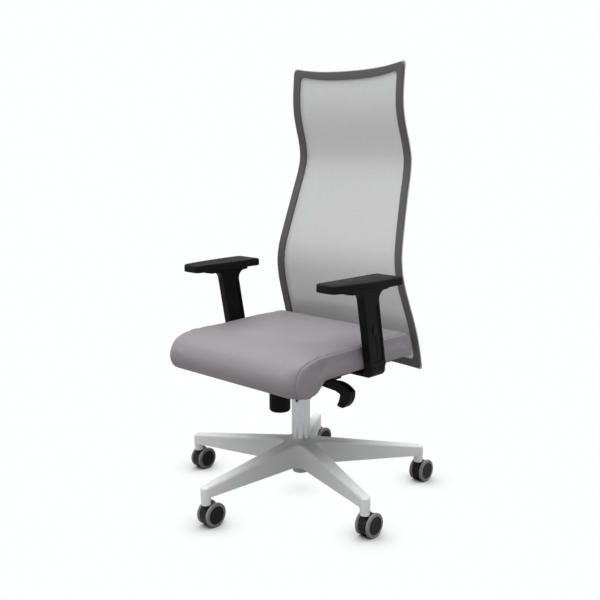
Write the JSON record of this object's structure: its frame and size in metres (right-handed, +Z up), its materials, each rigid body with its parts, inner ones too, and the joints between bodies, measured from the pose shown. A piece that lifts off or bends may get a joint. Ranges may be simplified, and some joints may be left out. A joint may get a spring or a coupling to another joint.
{
  "type": "office chair",
  "caption": "High-back swivel office chair with a waisted mesh back, upholstered waterfall seat, T-shaped height-adjustable arms, gas column and star base on twin-wheel castors.",
  "frame": {"origin": "on the floor, under the centre of the gas column", "axes": "+Z up, -Y towards the front edge of the seat, +X towards the sitter's left"},
  "size_m": [0.6776, 0.6727, 1.1464],
  "materials": {
    "base_white": "white glass-filled nylon, satin gloss",
    "chrome_tube": "bright chrome plating",
    "steel": "bright machined steel",
    "black_steel": "black powder coat",
    "mechanism_black": "black glass-filled nylon, fine grain",
    "black_plastic": "black moulded plastic, satin grain",
    "black_panel": "black moulded plastic, smoother satin",
    "arm_pad_soft": "black soft polyurethane, fine grain",
    "upholstery": "grey-mauve leatherette over foam, fine grain, twin stitched top seam",
    "shell_black": "black moulded plastic",
    "frame_grey": "light grey moulded plastic, satin",
    "border_grey": "dark grey edging strip",
    "mesh_grey": "light grey elastic mesh, open weave",
    "castor_black": "black nylon",
    "tread_grey": "grey soft tread"
  },
  "bodies": {
    "base": {"star_base": "base_white", "gas_spring_tube": "chrome_tube", "gas_spring_guide": "mechanism_black"},
    "spindle": {"piston_rod": "steel"},
    "mechanism": {"gas_cylinder": "black_steel", "mechanism_housing": "mechanism_black", "hinge_shafts": "steel", "tension_spring": "steel"},
    "valve": {"release_pin": "steel"},
    "knob": {"tension_knob": "black_plastic"},
    "lift_lever": {"height_lever": "black_plastic"},
    "tilt_lever": {"lock_lever": "black_plastic"},
    "seat": {"seat_plate": "black_steel", "seat_shell": "shell_black", "seat_cushion": "upholstery", "seat_screws": "steel", "arm_bracket_left": "black_plastic", "arm_bracket_right": "black_plastic"},
    "back": {"back_arm": "mechanism_black", "back_crossbar": "frame_grey", "back_frame": "frame_grey", "back_mesh": "mesh_grey", "mesh_border": "border_grey", "back_screws": "steel"},
    "arm_left": {"arm_sleeve_left": "black_plastic", "arm_pad_left": "arm_pad_soft"},
    "button_left": {"arm_button_left": "black_panel"},
    "arm_right": {"arm_sleeve_right": "black_plastic", "arm_pad_right": "arm_pad_soft"},
    "button_right": {"arm_button_right": "black_panel"},
    "castor_1": {"castor_hood_1": "castor_black", "castor_pins_1": "steel"},
    "wheel_left_1": {"wheel_core_left_1": "castor_black", "wheel_tread_left_1": "tread_grey"},
    "wheel_right_1": {"wheel_core_right_1": "castor_black", "wheel_tread_right_1": "tread_grey"},
    "castor_2": {"castor_hood_2": "castor_black", "castor_pins_2": "steel"},
    "wheel_left_2": {"wheel_core_left_2": "castor_black", "wheel_tread_left_2": "tread_grey"},
    "wheel_right_2": {"wheel_core_right_2": "castor_black", "wheel_tread_right_2": "tread_grey"},
    "castor_3": {"castor_hood_3": "castor_black", "castor_pins_3": "steel"},
    "wheel_left_3": {"wheel_core_left_3": "castor_black", "wheel_tread_left_3": "tread_grey"},
    "wheel_right_3": {"wheel_core_right_3": "castor_black", "wheel_tread_right_3": "tread_grey"},
    "castor_4": {"castor_hood_4": "castor_black", "castor_pins_4": "steel"},
    "wheel_left_4": {"wheel_core_left_4": "castor_black", "wheel_tread_left_4": "tread_grey"},
    "wheel_right_4": {"wheel_core_right_4": "castor_black", "wheel_tread_right_4": "tread_grey"},
    "castor_5": {"castor_hood_5": "castor_black", "castor_pins_5": "steel"},
    "wheel_left_5": {"wheel_core_left_5": "castor_black", "wheel_tread_left_5": "tread_grey"},
    "wheel_right_5": {"wheel_core_right_5": "castor_black", "wheel_tread_right_5": "tread_grey"}
  },
  "joints": [
    {"name": "seat_swivel", "type": "hinge", "parent": "base", "child": "spindle", "pos_m": [0, 0, 0.059], "axis": [0, 0, 1], "continuous": true},
    {"name": "seat_lift", "type": "slide", "parent": "spindle", "child": "mechanism", "axis": [0, 0, 1], "range_m": [0, 0.1]},
    {"name": "lift_lever_pull", "type": "hinge", "parent": "mechanism", "child": "lift_lever", "pos_m": [-0.045, -0.035, 0.334], "axis": [0, 1, 0], "range_deg": [0, 4], "stiffness_Nm_per_rad": 8, "springref_deg": -2.86},
    {"name": "valve_press", "type": "slide", "parent": "mechanism", "child": "valve", "axis": [0, 0, -1], "range_m": [0, 0.0045]},
    {"name": "lock_lever_press", "type": "hinge", "parent": "mechanism", "child": "tilt_lever", "pos_m": [0.045, -0.035, 0.334], "axis": [0, 1, 0], "range_deg": [0, 6]},
    {"name": "tension_turn", "type": "hinge", "parent": "mechanism", "child": "knob", "pos_m": [0, -0.081, 0.3], "axis": [0, 0, 1], "range_deg": [-720, 720]},
    {"name": "back_recline", "type": "hinge", "parent": "mechanism", "child": "back", "pos_m": [0, 0.04, 0.324], "axis": [-1, 0, 0], "range_deg": [0, 22], "stiffness_Nm_per_rad": 60, "springref_deg": -28.65},
    {"name": "seat_tilt", "type": "hinge", "parent": "mechanism", "child": "seat", "pos_m": [0, -0.104, 0.346], "axis": [-1, 0, 0], "range_deg": [0, 8]},
    {"name": "arm_height_left", "type": "slide", "parent": "seat", "child": "arm_left", "axis": [0, -0.184, 0.9829], "range_m": [0, 0.07]},
    {"name": "arm_button_left", "type": "slide", "parent": "arm_left", "child": "button_left", "axis": [-1, 0, 0], "range_m": [0, 0.002], "stiffness_N_per_m": 600, "springref_m": -0.002},
    {"name": "arm_height_right", "type": "slide", "parent": "seat", "child": "arm_right", "axis": [0, -0.184, 0.9829], "range_m": [0, 0.07]},
    {"name": "arm_button_right", "type": "slide", "parent": "arm_right", "child": "button_right", "axis": [1, 0, 0], "range_m": [0, 0.002], "stiffness_N_per_m": 600, "springref_m": -0.002},
    {"name": "castor_swivel_1", "type": "hinge", "parent": "base", "child": "castor_1", "pos_m": [-0.00818, -0.3349, 0.06], "axis": [0, 0, 1], "continuous": true},
    {"name": "wheel_roll_left_1", "type": "hinge", "parent": "castor_1", "child": "wheel_left_1", "pos_m": [-0.00818, -0.3179, 0.031], "axis": [1, 0, 0], "continuous": true},
    {"name": "wheel_roll_right_1", "type": "hinge", "parent": "castor_1", "child": "wheel_right_1", "pos_m": [-0.00818, -0.3179, 0.031], "axis": [1, 0, 0], "continuous": true},
    {"name": "castor_swivel_2", "type": "hinge", "parent": "base", "child": "castor_2", "pos_m": [0.31598, -0.11127, 0.06], "axis": [0, 0, 1], "continuous": true},
    {"name": "wheel_roll_left_2", "type": "hinge", "parent": "castor_2", "child": "wheel_left_2", "pos_m": [0.31598, -0.09427, 0.031], "axis": [1, 0, 0], "continuous": true},
    {"name": "wheel_roll_right_2", "type": "hinge", "parent": "castor_2", "child": "wheel_right_2", "pos_m": [0.31598, -0.09427, 0.031], "axis": [1, 0, 0], "continuous": true},
    {"name": "castor_swivel_3", "type": "hinge", "parent": "base", "child": "castor_3", "pos_m": [0.20347, 0.26613, 0.06], "axis": [0, 0, 1], "continuous": true},
    {"name": "wheel_roll_left_3", "type": "hinge", "parent": "castor_3", "child": "wheel_left_3", "pos_m": [0.20347, 0.28313, 0.031], "axis": [1, 0, 0], "continuous": true},
    {"name": "wheel_roll_right_3", "type": "hinge", "parent": "castor_3", "child": "wheel_right_3", "pos_m": [0.20347, 0.28313, 0.031], "axis": [1, 0, 0], "continuous": true},
    {"name": "castor_swivel_4", "type": "hinge", "parent": "base", "child": "castor_4", "pos_m": [-0.19023, 0.27575, 0.06], "axis": [0, 0, 1], "continuous": true},
    {"name": "wheel_roll_left_4", "type": "hinge", "parent": "castor_4", "child": "wheel_left_4", "pos_m": [-0.19023, 0.29275, 0.031], "axis": [1, 0, 0], "continuous": true},
    {"name": "wheel_roll_right_4", "type": "hinge", "parent": "castor_4", "child": "wheel_right_4", "pos_m": [-0.19023, 0.29275, 0.031], "axis": [1, 0, 0], "continuous": true},
    {"name": "castor_swivel_5", "type": "hinge", "parent": "base", "child": "castor_5", "pos_m": [-0.32104, -0.09571, 0.06], "axis": [0, 0, 1], "continuous": true},
    {"name": "wheel_roll_left_5", "type": "hinge", "parent": "castor_5", "child": "wheel_left_5", "pos_m": [-0.32104, -0.07871, 0.031], "axis": [1, 0, 0], "continuous": true},
    {"name": "wheel_roll_right_5", "type": "hinge", "parent": "castor_5", "child": "wheel_right_5", "pos_m": [-0.32104, -0.07871, 0.031], "axis": [1, 0, 0], "continuous": true}
  ],
  "couplings": [
    {"joint": "seat_tilt", "follows": "back_recline", "ratio": 0.35},
    {"joint": "valve_press", "follows": "lift_lever_pull", "m_per_rad": 0.045}
  ]
}
